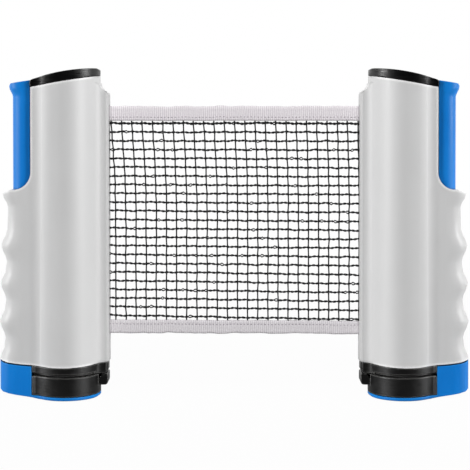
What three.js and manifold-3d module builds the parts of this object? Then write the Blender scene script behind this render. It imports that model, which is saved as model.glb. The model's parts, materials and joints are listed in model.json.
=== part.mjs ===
// A retractable table tennis net: two clamp posts with spring jaws, and a net that winds
// on a sprung reel inside each post. Millimetres, +Z up. The net runs along X, the front
// of the posts looks to -Y, and the origin is on the ground midway between the posts.

import * as THREE from 'three';
import * as BufferGeometryUtils from 'three/addons/utils/BufferGeometryUtils.js';
import Module from 'manifold-3d';

// Clearances
const seatGap = 0.3;            // between pieces that rest on each other
const slideGap = 0.3;           // around the sliding jaw bar
const partingGap = 0.3;         // between the front and the rear shell
const screwGap = 0.3;           // around a screw in its hole
const shaftGap = 0.3;           // between the reel shaft and its bushes

// The set as it stands
const postSpacing = 159.2;      // between the inner faces of the two posts
const netFullLength = 1750;     // net between the posts when all of it is pulled out

// Housing of one post; "out" is measured from its inner face, away from the net
const wall = 2.4;
const reelAxisOut = 27;
const reelHousingRadius = 21.3;
const bodyBottom = 20.6;
const innerEdgeRise = 1.6;      // of the lower edge towards the net
const outerEdgeRise = 2.4;      // of the lower edge towards the grip's outer end
const headRoom = 11.9;          // from the net's top to the top edge at the cut-out
const topEdgeAngle = 9.4;       // degrees, the top rises towards the net
const noseHalfWidth = 7.5;
const noseCornerRadius = 2.2;
const noseRoom = 9.7;           // from the net's top to the top of the nose
const noseStepHeight = 4.9;     // height of the S curve above the nose
const floorThickness = 2.4;
const bulkheadThickness = 2.4;

// Grip on the outer side
const gripHalfWidth = 12.5;
const gripEndTop = 64.8;        // out, at the top of the grip
const gripEndBottom = 66.5;     // out, at the bottom of the grip
const gripEndWall = 3;          // between the grip's outer end and the bar's channel
const gripFlareStart = 35;
const gripFlare = 4.2;
const fingerRidgeCount = 3;
const fingerRidgePitch = 24.2;
const lowestRidgeHeight = 47.3;
const fingerRidgeRise = 3.9;
const fingerRidgeWidth = 6;
const gripLipRise = 8.7;        // from the straight stretch up to the tip of the lip
const gripLipReach = 3.6;
const gripLipDrop = 2.7;        // of the tip below the floor of the cut-out
const gripEndRoundness = 11.5;
const gripFilletRadius = 14;    // where the grip runs into the reel's round
const noseFilletRadius = 7;

// Cut-out that shows the handle
const cutoutEdgeOut = 48.5;
const cutoutFilletRadius = 11.5;
const cutoutFloorHeight = 131.5;

// Handle, bar and jaw shoe, one blue moulding
const barWall = 2.4;
const handleGap = 0.7;          // between the cut-out's edge and the handle
const handleRise = 2.5;         // of the handle's outer top above the top edge
const handleLipDrop = 2.4;
const handleLipRise = 6.2;
const handleLipReach = 2.3;
const shoeEndOut = 70.1;
const shoeInnerOut = 5.2;
const shoeFloorThickness = 2.1;
const shoeCornerRadius = 4.6;
const shoeFlatEnd = 44;         // the underside is flat up to here, and rises to the outer end
const shoeToeRise = 3.3;
const shoeTopGap = 0.9;         // between the shoe and the lower edge of the grip

// Rubber pads of the jaw
const jawPartingHeight = 14.9;
const jawPartingGap = 0.4;
const padEndOut = 48;
const upperPadBevel = 1.4;
const lowerPadBevel = 0.5;
const padNoseInset = 0.7;
const lowerPadInnerOut = 3.4;
const lowerPadNoseBottom = 7.5;
const lowerPadNoseHalfWidth = 6.9;

// Clamp spring in the hollow of the bar
const springShelfHeight = 60;
const springShelfThickness = 4;
const clampSpringLength = 90;
const clampWire = 1.2;
const clampCurls = 7;

// Net and its bands
const netHeight = 145;
const netBottomHeight = 39.4;
const netThickness = 0.6;
const netColumns = 14;
const netRows = 14;
const levelStrand = 1.1;
const uprightStrand = 0.9;
const topBandHeight = 9.4;
const bottomBandHeight = 8.6;
const bandCloth = 0.5;
const mouthHalfWidth = 1.6;
const mouthMargin = 0.5;

// Reel
const shaftRadius = 2;
const shaftSink = 5;            // how far the shaft reaches past each bulkhead
const spoolTubeRadius = 6;
const spoolTubeWall = 1.5;
const flangeRadius = 17.8;
const flangeThickness = 1.6;
const flangeMargin = 0.4;       // between the net's edges and the flanges
const rollMargin = 0.3;         // between the roll of net and the spool
const layerThickness = 0.9;     // of the net on the roll
const bushFlangeRadius = 5.4;
const bushFlangeThickness = 0.9;
const bushLength = 7;
const springCupDepth = 6.1;
const springStripThickness = 0.5;
const springStripTurns = 3.5;
const springCupWall = 1.2;

// Shell screws
const screwShankRadius = 1.25;
const screwHeadRadius = 2.5;
const screwHeadHeight = 1.8;
const screwDepthFront = 7.5;    // how far a screw reaches into the front shell
const screwSeatDepth = 8.5;     // of the counterbore's floor behind the parting plane
const screwBossRadius = 2.75;
const screwBossSink = 1.2;      // how far a boss sinks into the floor or bulkhead under it
const counterboreWall = 0.9;    // of the sleeve around each counterbore
const screwSideStep = 13;       // from the reel's axis to each row of screws

// Cap
const capOverhang = 0.4;        // of the cap past the cut-out's edge
const capOuterThickness = 4.4;
const capInnerThickness = 4.5;
const capCrown = 2.7;
const capCornerRadius = 2.4;
const capPlugDepth = 2.2;
const capPlugWall = 2;

const arcSteps = 36;
const hiddenSteps = 20;
const reach = 100;              // tools and blanks reach this far past what they shape

// Heights that follow from those above
const netTopHeight = netBottomHeight + netHeight;
const topEdgeOuterHeight = netTopHeight + headRoom;
const noseTopHeight = netTopHeight + noseRoom;
const handleTopHeight = topEdgeOuterHeight + handleRise;
const handleLipHeight = handleTopHeight - handleLipDrop;
const handleLipStart = handleLipHeight - handleLipRise;
const gripLipHeight = cutoutFloorHeight - gripLipDrop;
const gripStraightTop = gripLipHeight - gripLipRise;
const springTopHeight = springShelfHeight + clampSpringLength;
const lowerFlangeTop = netBottomHeight - flangeMargin;
const lowerFlangeBottom = lowerFlangeTop - flangeThickness;
const springCupBottom = lowerFlangeBottom - springCupDepth;
const lowerBulkheadTop = springCupBottom - seatGap;
const upperFlangeTop = netTopHeight + flangeMargin + flangeThickness;
const upperBulkheadBottom = upperFlangeTop + bushFlangeThickness + 2 * seatGap;

const manifold = await Module();
manifold.setup();

// A closed solid from a geometry, and back
function solidFrom(geometry) {
  const bare = geometry.clone();
  bare.deleteAttribute('normal');
  bare.deleteAttribute('uv');
  const merged = BufferGeometryUtils.mergeVertices(bare, 1e-5);
  return new manifold.Manifold(new manifold.Mesh({
    numProp: 3,
    vertProperties: new Float32Array(merged.attributes.position.array),
    triVerts: new Uint32Array(merged.index.array),
  }));
}

function geometryFrom(solid) {
  const mesh = solid.getMesh();
  const geometry = new THREE.BufferGeometry();
  geometry.setAttribute('position', new THREE.BufferAttribute(mesh.vertProperties, 3));
  geometry.setIndex(new THREE.BufferAttribute(mesh.triVerts, 1));
  geometry.computeVertexNormals();
  return geometry;
}

function join(...geometries) {
  let solid = solidFrom(geometries[0]);
  for (const geometry of geometries.slice(1)) {
    solid = solid.add(solidFrom(geometry));
  }
  return geometryFrom(solid);
}

function cut(base, ...tools) {
  let solid = solidFrom(base);
  for (const tool of tools) {
    solid = solid.subtract(solidFrom(tool));
  }
  return geometryFrom(solid);
}

function common(first, second) {
  return geometryFrom(solidFrom(first).intersect(solidFrom(second)));
}

// A plan outline raised from one height to another
function raised(shape, low, high, steps = arcSteps) {
  const geometry = new THREE.ExtrudeGeometry(shape, {
    depth: high - low,
    bevelEnabled: false,
    curveSegments: steps,
  });
  return geometry.translate(0, 0, low);
}

// A side outline (out, height) that runs from one depth to another along Y
function acrossPost(shape, front, back, steps = 10) {
  const geometry = new THREE.ExtrudeGeometry(shape, {
    depth: back - front,
    bevelEnabled: false,
    curveSegments: steps,
  });
  return geometry.rotateX(Math.PI / 2).translate(0, back, 0);
}

function box(outLow, outHigh, front, back, low, high) {
  const geometry = new THREE.BoxGeometry(outHigh - outLow, back - front, high - low);
  return geometry.translate((outLow + outHigh) / 2, (front + back) / 2, (low + high) / 2);
}

function disc(radius, low, high, steps = arcSteps) {
  const geometry = new THREE.CylinderGeometry(radius, radius, high - low, steps);
  return geometry.rotateX(Math.PI / 2).translate(reelAxisOut, 0, (low + high) / 2);
}

function rodAlongY(radius, out, height, front, back, steps = 12) {
  const geometry = new THREE.CylinderGeometry(radius, radius, back - front, steps);
  return geometry.translate(out, (front + back) / 2, height);
}

function polygon(points) {
  return new THREE.Shape(points.map(([x, y]) => new THREE.Vector2(x, y)));
}

// A ring turned about the reel's axis, from a closed profile of radius and height
function turned(profile, steps = hiddenSteps) {
  const points = profile.map(([radius, height]) => new THREE.Vector2(radius, height));
  points.push(points[0].clone());
  const geometry = new THREE.LatheGeometry(points, steps);
  return geometry.rotateX(Math.PI / 2).translate(reelAxisOut, 0, 0);
}

// A closed solid through rings of points of equal count, given from the bottom up
function loft(rings) {
  const count = rings[0].length;
  const positions = rings.flat(2);
  const indices = [];
  for (let level = 0; level < rings.length - 1; level++) {
    for (let i = 0; i < count; i++) {
      const next = (i + 1) % count;
      const a = level * count + i;
      const b = level * count + next;
      indices.push(a, b, b + count);
      indices.push(a, b + count, a + count);
    }
  }
  const top = (rings.length - 1) * count;
  for (let i = 1; i < count - 1; i++) {
    indices.push(0, i + 1, i);
    indices.push(top, top + i, top + i + 1);
  }
  const geometry = new THREE.BufferGeometry();
  geometry.setAttribute('position', new THREE.Float32BufferAttribute(positions, 3));
  geometry.setIndex(indices);
  return geometry;
}

// One level of a slab whose outer end is rounded, seen from above
function slabRing(inner, outer, halfWidth, roundness, height, steps = 8) {
  const ring = [[inner, -halfWidth, height]];
  for (let i = 0; i <= steps; i++) {
    const angle = -Math.PI / 2 + (Math.PI * i) / steps;
    const out = outer - roundness + roundness * Math.cos(angle);
    ring.push([out, halfWidth * Math.sin(angle), height]);
  }
  ring.push([inner, halfWidth, height]);
  return ring;
}

// Height of the slanted top edge of the housing
function topEdge(out) {
  return topEdgeOuterHeight + (cutoutEdgeOut - out) * Math.tan(THREE.MathUtils.degToRad(topEdgeAngle));
}

// Height of the lower edge of the housing, lowest in the middle
function bottomEdge(out) {
  const middle = gripEndBottom / 2;
  const rise = out < middle ? innerEdgeRise : outerEdgeRise;
  return bodyBottom + rise * ((out - middle) / middle) ** 2;
}

// Points along the lower edge, from one place to another, set off upwards by a lift
function bottomEdgePoints(from, to, lift) {
  const steps = 8;
  const points = [];
  for (let i = 0; i <= steps; i++) {
    const out = from + ((to - from) * i) / steps;
    points.push([out, bottomEdge(out) + lift]);
  }
  return points;
}

function belowBottomEdge(lift) {
  return acrossPost(polygon([
    [shoeEndOut + 3, -reach],
    ...bottomEdgePoints(shoeEndOut + 3, -3, lift),
    [-3, -reach],
  ].reverse()), -reach, reach);
}

// How far out the grip reaches at a height: a slow taper, finger ridges, a lip and a flare
function gripEnd(height) {
  const taper = (gripStraightTop - height) / (gripStraightTop - gripFlareStart);
  let out = gripEndTop + (gripEndBottom - gripEndTop) * THREE.MathUtils.clamp(taper, 0, 1);
  for (let i = 0; i < fingerRidgeCount; i++) {
    const away = (height - lowestRidgeHeight - i * fingerRidgePitch) / fingerRidgeWidth;
    out += fingerRidgeRise * Math.exp(-away * away);
  }
  if (height > gripStraightTop) {
    out += gripLipReach * THREE.MathUtils.smoothstep(height, gripStraightTop, gripLipHeight);
  }
  if (height < gripFlareStart) {
    out += gripFlare * THREE.MathUtils.smoothstep(-height, -gripFlareStart, -bodyBottom);
  }
  return out;
}

// Heights at which the grip has a section: close together on the ridges, apart elsewhere
function gripLevels() {
  const levels = [bodyBottom];
  const flareStep = (gripFlareStart - bodyBottom) / 3;
  for (let i = 1; i < 3; i++) {
    levels.push(bodyBottom + i * flareStep);
  }
  for (let i = 0; i < fingerRidgeCount; i++) {
    const middle = lowestRidgeHeight + i * fingerRidgePitch;
    for (const step of [-1.7, -1.1, -0.6, 0, 0.6, 1.1]) {
      levels.push(middle + step * fingerRidgeWidth);
    }
  }
  const lastRidge = lowestRidgeHeight + (fingerRidgeCount - 1) * fingerRidgePitch;
  levels.push(lastRidge + 1.7 * fingerRidgeWidth);
  const lipStep = (gripLipHeight - gripStraightTop) / 3;
  for (let i = 0; i <= 3; i++) {
    levels.push(gripStraightTop + i * lipStep);
  }
  levels.push(cutoutFloorHeight + 2 * cutoutFilletRadius);
  return levels;
}

// Sizes that follow from those above
const channelHalfWidth = gripHalfWidth - wall;
const barHalfWidth = channelHalfWidth - slideGap;
const channelEnd = gripEndTop - gripEndWall;
const barEnd = channelEnd - slideGap;
const pocketHalfWidth = barHalfWidth - barWall;
const pocketEnd = barEnd - barWall;
const barInnerOut = cutoutEdgeOut + handleGap;
const channelInner = barInnerOut - slideGap;
const chamberRadius = reelHousingRadius - wall;
const housingInnerOut = reelAxisOut - reelHousingRadius;
const slabStart = reelAxisOut + 0.75 * reelHousingRadius;
const lowerScrewHeight = bodyBottom + floorThickness + screwBossRadius - screwBossSink;
const upperScrewHeight = upperBulkheadBottom + bulkheadThickness + screwBossRadius - screwBossSink;
const woundLength = (netFullLength - postSpacing) / 2;
const rollRadius = Math.sqrt(spoolTubeRadius ** 2 + (woundLength * layerThickness) / Math.PI);
const netEndOut = reelAxisOut - rollRadius - seatGap;
const bandHalfThickness = netThickness / 2 + seatGap + bandCloth;

// The stretch between the reel's round and a slab beside it, with a concave fillet on each side;
// direction is 1 towards the grip and -1 towards the nose
function filletSolid(direction, halfWidth, filletRadius, inset, low, high) {
  const round = reelHousingRadius - inset;
  const half = halfWidth - inset;
  const radius = filletRadius + inset;
  const away = Math.sqrt((round + radius) ** 2 - (half + radius) ** 2);
  const start = Math.atan2(half + radius, away);
  const outline = [];
  for (const side of [-1, 1]) {
    for (let i = 0; i <= 4; i++) {
      const part = side < 0 ? i / 4 : 1 - i / 4;
      const angle = Math.PI / 2 - (Math.PI / 2 - start) * part;
      const out = away - radius * Math.cos(angle);
      const across = half + radius - radius * Math.sin(angle);
      outline.push([reelAxisOut + direction * out, side * across]);
    }
  }
  if (direction < 0) {
    outline.reverse();
  }
  return raised(polygon(outline), low, high);
}

// Plan outline of the housing, the pads and the shoe: the reel's round, with the slab beside it
function housingPlan(inset, outEnd, low, high) {
  const round = disc(reelHousingRadius - inset, low, high);
  const slab = box(reelAxisOut, outEnd, inset - gripHalfWidth, gripHalfWidth - inset, low, high);
  return join(round, slab, filletSolid(1, gripHalfWidth, gripFilletRadius, inset, low, high));
}

// The nose that the net comes out of, with rounded corners and an S curve on top
function noseSolid(inset, low, bevel = 0) {
  const half = noseHalfWidth - inset;
  const plan = new THREE.Shape();
  const start = inset;
  const radius = noseCornerRadius;
  plan.moveTo(reelAxisOut / 2, -half);
  plan.lineTo(reelAxisOut / 2, half);
  plan.lineTo(start + radius, half);
  plan.absarc(start + radius, half - radius, radius, Math.PI / 2, Math.PI, false);
  plan.absarc(start + radius, radius - half, radius, Math.PI, 1.5 * Math.PI, false);
  plan.closePath();
  const side = new THREE.Shape();
  side.moveTo(start + bevel, low);
  if (bevel > 0) {
    side.lineTo(start, low + bevel);
  }
  side.lineTo(start, noseTopHeight - noseStepHeight / 2);
  side.bezierCurveTo(
    start, noseTopHeight,
    housingInnerOut, noseTopHeight,
    housingInnerOut, noseTopHeight + noseStepHeight,
  );
  side.lineTo(reelAxisOut / 2, noseTopHeight + noseStepHeight);
  side.lineTo(reelAxisOut / 2, low);
  side.closePath();
  const high = noseTopHeight + reach;
  const whole = join(
    raised(plan, low, high, 4),
    filletSolid(-1, noseHalfWidth, noseFilletRadius, inset, low, high),
  );
  return common(whole, acrossPost(side, -reelHousingRadius, reelHousingRadius, 8));
}

// Space above the slanted top edge, and space of the cut-out for the handle
function aboveTopEdge(lift) {
  return acrossPost(polygon([
    [-reach, topEdge(-reach) + lift],
    [reach, topEdge(reach) + lift],
    [reach, 3 * reach],
    [-reach, 3 * reach],
  ]), -reach, reach);
}

function cutoutSpace() {
  const side = new THREE.Shape();
  side.moveTo(cutoutEdgeOut, 3 * reach);
  side.lineTo(cutoutEdgeOut, cutoutFloorHeight + cutoutFilletRadius);
  side.absarc(
    cutoutEdgeOut + cutoutFilletRadius, cutoutFloorHeight + cutoutFilletRadius,
    cutoutFilletRadius, Math.PI, 1.5 * Math.PI, false,
  );
  side.lineTo(channelEnd, cutoutFloorHeight);
  side.lineTo(gripEnd(gripLipHeight), gripLipHeight);
  side.lineTo(reach, gripLipHeight);
  side.lineTo(reach, 3 * reach);
  side.closePath();
  return acrossPost(side, -reach, reach, 8);
}

// Whole outside of the housing, before it is hollowed and split
function housingOutside() {
  const top = topEdge(-1) + 1;
  const rings = gripLevels().map((height) => (
    slabRing(slabStart, gripEnd(height), gripHalfWidth, gripEndRoundness, height)
  ));
  const outside = join(
    housingPlan(0, cutoutEdgeOut, bodyBottom, top),
    noseSolid(0, bodyBottom),
    loft(rings),
  );
  return cut(outside, cutoutSpace(), aboveTopEdge(0), belowBottomEdge(0));
}

// Hollows of the housing: foot, reel chamber and head, the bar's channel and the net's mouth
function housingHollow() {
  const head = disc(chamberRadius, upperBulkheadBottom + bulkheadThickness, 3 * reach, hiddenSteps);
  const chamber = disc(chamberRadius, lowerBulkheadTop, upperBulkheadBottom, hiddenSteps);
  const footTop = lowerBulkheadTop - bulkheadThickness;
  const foot = disc(chamberRadius, bodyBottom + floorThickness, footTop, hiddenSteps);
  const channel = loft([bodyBottom - 1, 3 * reach].map((height) => (
    slabRing(channelInner, channelEnd, channelHalfWidth, channelHalfWidth, height)
  )));
  const mouth = box(
    -1, reelAxisOut / 2, -mouthHalfWidth, mouthHalfWidth,
    netBottomHeight - mouthMargin, netTopHeight + mouthMargin,
  );
  return [head, chamber, foot, channel, mouth];
}

const screwPlaces = [];
for (const side of [-1, 1]) {
  screwPlaces.push([reelAxisOut + side * screwSideStep, lowerScrewHeight]);
  screwPlaces.push([reelAxisOut + side * screwSideStep, upperScrewHeight]);
}

// The housing with its bosses and its spring shelf, still in one piece
function hollowHousing() {
  const outside = housingOutside();
  let hollow = cut(outside, ...housingHollow());
  const sleeveRadius = screwHeadRadius + screwGap + counterboreWall;
  const bosses = screwPlaces.map(([out, height]) => join(
    rodAlongY(screwBossRadius, out, height, -chamberRadius, screwSeatDepth),
    rodAlongY(sleeveRadius, out, height, screwSeatDepth - counterboreWall, chamberRadius, 16),
  ));
  const shelfWidth = pocketHalfWidth - slideGap;
  const shelf = loft([springShelfHeight - springShelfThickness, springShelfHeight].map((height) => (
    slabRing(channelInner - wall / 2, pocketEnd - slideGap, shelfWidth, shelfWidth, height)
  )));
  hollow = join(hollow, shelf, ...bosses.map((boss) => common(boss, outside)));
  const shaftHole = disc(shaftRadius + shaftGap, bodyBottom + floorThickness + 1, 3 * reach, 12);
  return cut(hollow, shaftHole);
}

const housing = hollowHousing();

function frontShell() {
  const rear = box(-reach, reach, -partingGap / 2, reach, -1, 3 * reach);
  const holes = screwPlaces.map(([out, height]) => (
    rodAlongY(screwShankRadius + screwGap, out, height, -screwDepthFront - screwGap, 1, 8)
  ));
  return cut(housing, rear, ...holes);
}

function rearShell() {
  const front = box(-reach, reach, -reach, partingGap / 2, -1, 3 * reach);
  const holes = screwPlaces.map(([out, height]) => join(
    rodAlongY(screwShankRadius + screwGap, out, height, -1, screwSeatDepth + 1, 8),
    rodAlongY(screwHeadRadius + screwGap, out, height, screwSeatDepth, reach),
  ));
  return cut(housing, front, ...holes);
}

function shellScrew([out, height]) {
  const headFront = screwSeatDepth + seatGap;
  return join(
    rodAlongY(screwShankRadius, out, height, -screwDepthFront, headFront + 0.5, 8),
    rodAlongY(screwHeadRadius, out, height, headFront, headFront + screwHeadHeight),
  );
}

// Black cap with a crowned top and a plug that sits inside the housing
function topCap() {
  const outer = cutoutEdgeOut + capOverhang;
  const inner = housingInnerOut;
  const outerBase = topEdge(outer) + seatGap;
  const innerBase = topEdge(inner) + seatGap;
  const side = new THREE.Shape();
  side.moveTo(outer, outerBase);
  side.lineTo(outer, outerBase + capOuterThickness - capCornerRadius / 2);
  side.quadraticCurveTo(
    outer, outerBase + capOuterThickness,
    outer - capCornerRadius, outerBase + capOuterThickness + 0.6,
  );
  side.quadraticCurveTo(
    (outer + inner) / 2, (outerBase + innerBase) / 2 + capInnerThickness + capCrown,
    inner + capCornerRadius, innerBase + capInnerThickness,
  );
  side.quadraticCurveTo(
    inner, innerBase + capInnerThickness,
    inner, innerBase + capInnerThickness - capCornerRadius,
  );
  side.lineTo(inner, innerBase);
  side.closePath();
  const low = outerBase - capPlugDepth;
  const high = 3 * reach;
  const crown = common(
    housingPlan(0, outer, low, high),
    acrossPost(side, -reelHousingRadius - 1, reelHousingRadius + 1, 10),
  );
  const plugRadius = chamberRadius - seatGap;
  const plugSide = polygon([
    [inner, innerBase - capPlugDepth],
    [outer, outerBase - capPlugDepth],
    [outer, outerBase + 1],
    [inner, innerBase + 1],
  ]);
  const plug = common(
    cut(
      disc(plugRadius, low, high, hiddenSteps),
      disc(plugRadius - capPlugWall, low - 1, high + 1, hiddenSteps),
    ),
    acrossPost(plugSide, -reelHousingRadius, reelHousingRadius),
  );
  return join(crown, plug);
}

// How far out the handle reaches at a height: straight, with a lip for the thumb
function handleEnd(height) {
  const lip = THREE.MathUtils.smoothstep(height, handleLipStart, handleLipHeight);
  return barEnd + handleLipReach * lip;
}

// Blue handle, hollow bar and jaw shoe
function squeezeJaw() {
  const blockTop = bodyBottom - shoeTopGap;
  const lipStep = (handleLipHeight - handleLipStart) / 4;
  const levels = [blockTop - 1, handleLipStart];
  for (let i = 1; i <= 4; i++) {
    levels.push(handleLipStart + i * lipStep);
  }
  levels.push(handleTopHeight + 5);
  const bar = cut(
    loft(levels.map((height) => (
      slabRing(barInnerOut, handleEnd(height), barHalfWidth, barHalfWidth, height, 10)
    ))),
    acrossPost(polygon([
      [barEnd + 2, handleTopHeight - 1.6],
      [barEnd + 0.6, handleTopHeight],
      [barInnerOut, handleTopHeight + 1.9],
      [barInnerOut, 3 * reach],
      [reach, 3 * reach],
      [reach, handleTopHeight - 3.4],
    ]), -reach, reach),
    loft([bodyBottom, springTopHeight].map((height) => (
      slabRing(barInnerOut - 1, pocketEnd, pocketHalfWidth, pocketHalfWidth, height)
    ))),
  );
  const shoeTop = bottomEdge(shoeEndOut);
  const blockStart = padEndOut + seatGap;
  const shoePlan = join(
    housingPlan(0, barInnerOut, 0, shoeTop),
    loft([0, shoeTop].map((height) => (
      slabRing(slabStart, shoeEndOut, gripHalfWidth, gripEndRoundness, height)
    ))),
  );
  const side = new THREE.Shape();
  side.moveTo(shoeInnerOut + shoeCornerRadius, 0);
  side.lineTo(shoeFlatEnd, 0);
  side.lineTo(shoeEndOut - shoeCornerRadius, shoeToeRise);
  side.quadraticCurveTo(shoeEndOut, shoeToeRise, shoeEndOut, shoeToeRise + shoeCornerRadius);
  for (const [out, height] of bottomEdgePoints(shoeEndOut, blockStart, -shoeTopGap)) {
    side.lineTo(out, height);
  }
  side.lineTo(blockStart, shoeFloorThickness);
  side.lineTo(shoeInnerOut, shoeFloorThickness);
  side.quadraticCurveTo(shoeInnerOut, 0, shoeInnerOut + shoeCornerRadius, 0);
  side.closePath();
  const shoe = common(shoePlan, acrossPost(side, -reelHousingRadius - 1, reelHousingRadius + 1, 6));
  return join(shoe, bar);
}

// A pad that starts at a place, ends at the pads' outer end, and is set in next to the parting
function steppedPad(start, low, high, stepLow, stepHigh, inset) {
  const body = housingPlan(0, padEndOut, low, high);
  const step = housingPlan(inset, padEndOut, stepLow, stepHigh);
  return common(join(body, step), box(start, padEndOut, -reach, reach, -reach, reach));
}

function upperPad() {
  const low = jawPartingHeight + jawPartingGap / 2;
  const high = bodyBottom + innerEdgeRise;
  const pad = join(
    steppedPad(-reach, low + upperPadBevel, high, low, high, upperPadBevel),
    noseSolid(padNoseInset, low, upperPadBevel),
  );
  return common(pad, belowBottomEdge(-seatGap));
}

function lowerPad() {
  const low = shoeFloorThickness + seatGap;
  const high = jawPartingHeight - jawPartingGap / 2;
  const plainTop = high - lowerPadBevel;
  const body = steppedPad(lowerPadInnerOut, low, plainTop, low, high, lowerPadBevel);
  const half = lowerPadNoseHalfWidth;
  const radius = noseCornerRadius;
  const side = new THREE.Shape();
  side.moveTo(reelAxisOut / 2, lowerPadNoseBottom);
  side.lineTo(padNoseInset + radius, lowerPadNoseBottom);
  side.quadraticCurveTo(padNoseInset, lowerPadNoseBottom, padNoseInset, lowerPadNoseBottom + radius);
  side.lineTo(padNoseInset, high - lowerPadBevel);
  side.lineTo(padNoseInset + lowerPadBevel, high);
  side.lineTo(reelAxisOut / 2, high);
  side.closePath();
  return join(body, acrossPost(side, -half, half, 5));
}

// A coil spring as one unbroken tube with flat ends
function coilSpring(radius, wire, low, high, curls) {
  const steps = 8;
  const sides = 5;
  const positions = [];
  const indices = [];
  const count = curls * steps;
  for (let i = 0; i <= count; i++) {
    const angle = (i / steps) * 2 * Math.PI;
    const height = low + wire / 2 + ((high - low - wire) * i) / count;
    for (let j = 0; j < sides; j++) {
      const turn = (j / sides) * 2 * Math.PI;
      const out = radius + (wire / 2) * Math.cos(turn);
      positions.push(out * Math.cos(angle), out * Math.sin(angle), height + (wire / 2) * Math.sin(turn));
    }
  }
  for (let i = 0; i < count; i++) {
    for (let j = 0; j < sides; j++) {
      const a = i * sides + j;
      const b = i * sides + ((j + 1) % sides);
      indices.push(a, b + sides, b);
      indices.push(a, a + sides, b + sides);
    }
  }
  const last = count * sides;
  for (let j = 1; j < sides - 1; j++) {
    indices.push(0, j, j + 1);
    indices.push(last, last + j + 1, last + j);
  }
  const geometry = new THREE.BufferGeometry();
  geometry.setAttribute('position', new THREE.Float32BufferAttribute(positions, 3));
  geometry.setIndex(indices);
  return geometry;
}

function clampSpring() {
  const hollowStart = channelInner + seatGap;
  const hollowEnd = pocketEnd - seatGap;
  const radius = (hollowEnd - hollowStart - clampWire) / 2;
  const low = springShelfHeight + seatGap;
  const high = springTopHeight - seatGap;
  const spring = coilSpring(radius, clampWire, low, high, clampCurls);
  const pitch = (high - low - clampWire) / clampCurls;
  console.log(`clamp spring: least gap between curls ${(pitch - clampWire).toFixed(2)} mm`);
  return spring.translate((hollowStart + hollowEnd) / 2, 0, 0);
}

// Spool: tube, two flanges and the cup that holds the recoil spring
function reelSpool() {
  const inner = spoolTubeRadius - spoolTubeWall;
  const cupInner = flangeRadius - springCupWall;
  return turned([
    [inner, lowerFlangeBottom],
    [cupInner, lowerFlangeBottom],
    [cupInner, springCupBottom],
    [flangeRadius, springCupBottom],
    [flangeRadius, lowerFlangeTop],
    [spoolTubeRadius, lowerFlangeTop],
    [spoolTubeRadius, upperFlangeTop - flangeThickness],
    [flangeRadius, upperFlangeTop - flangeThickness],
    [flangeRadius, upperFlangeTop],
    [inner, upperFlangeTop],
  ]);
}

function netRoll() {
  return turned([
    [spoolTubeRadius + rollMargin, netBottomHeight],
    [rollRadius, netBottomHeight],
    [rollRadius, netTopHeight],
    [spoolTubeRadius + rollMargin, netTopHeight],
  ]);
}

function reelShaft() {
  const low = lowerBulkheadTop - shaftSink;
  return disc(shaftRadius, low, upperBulkheadBottom + shaftSink, 12);
}

// A flanged bush in one end of the spool
function reelBush(seat, direction) {
  const inner = shaftRadius + shaftGap;
  const outer = spoolTubeRadius - spoolTubeWall - seatGap;
  const flangeBase = seat + direction * seatGap;
  const flangeTop = flangeBase + direction * bushFlangeThickness;
  const end = seat - direction * bushLength;
  const profile = [
    [inner, end],
    [outer, end],
    [outer, flangeBase],
    [bushFlangeRadius, flangeBase],
    [bushFlangeRadius, flangeTop],
    [inner, flangeTop],
  ];
  return turned(direction > 0 ? profile : profile.reverse(), 12);
}

// Flat spiral strip between the shaft and the cup of the spool
function recoilSpring() {
  const inner = bushFlangeRadius + 2 * seatGap;
  const outer = flangeRadius - springCupWall - seatGap;
  const steps = Math.round(springStripTurns * 11);
  const outline = [];
  for (const side of [0, 1]) {
    for (let i = 0; i <= steps; i++) {
      const along = side === 0 ? i / steps : 1 - i / steps;
      const angle = along * springStripTurns * 2 * Math.PI;
      const middle = inner + (outer - inner - springStripThickness) * along;
      const radius = middle + (side === 0 ? springStripThickness : 0);
      outline.push([radius * Math.cos(angle), radius * Math.sin(angle)]);
    }
  }
  const strip = raised(polygon(outline), springCupBottom + seatGap, lowerFlangeBottom - seatGap);
  return strip.translate(reelAxisOut, 0, 0);
}

// Flat lattice of the net; its upper and lower margins lie inside the folded bands
function netLattice() {
  const end = postSpacing / 2 + netEndOut;
  const firstRow = netBottomHeight + bottomBandHeight;
  const lastRow = netTopHeight - topBandHeight;
  const columnPitch = (2 * end - uprightStrand) / netColumns;
  const rowPitch = (lastRow - firstRow - levelStrand) / netRows;
  const acrossLines = [-end];
  for (let column = 0; column < netColumns; column++) {
    acrossLines.push(-end + uprightStrand + column * columnPitch);
    acrossLines.push(-end + (column + 1) * columnPitch);
  }
  acrossLines.push(end);
  const heightLines = [netBottomHeight + bandCloth + seatGap];
  for (let row = 0; row < netRows; row++) {
    heightLines.push(firstRow + levelStrand + row * rowPitch);
    heightLines.push(firstRow + (row + 1) * rowPitch);
  }
  heightLines.push(netTopHeight - bandCloth - seatGap);
  return lattice(acrossLines, heightLines, netThickness);
}

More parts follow.
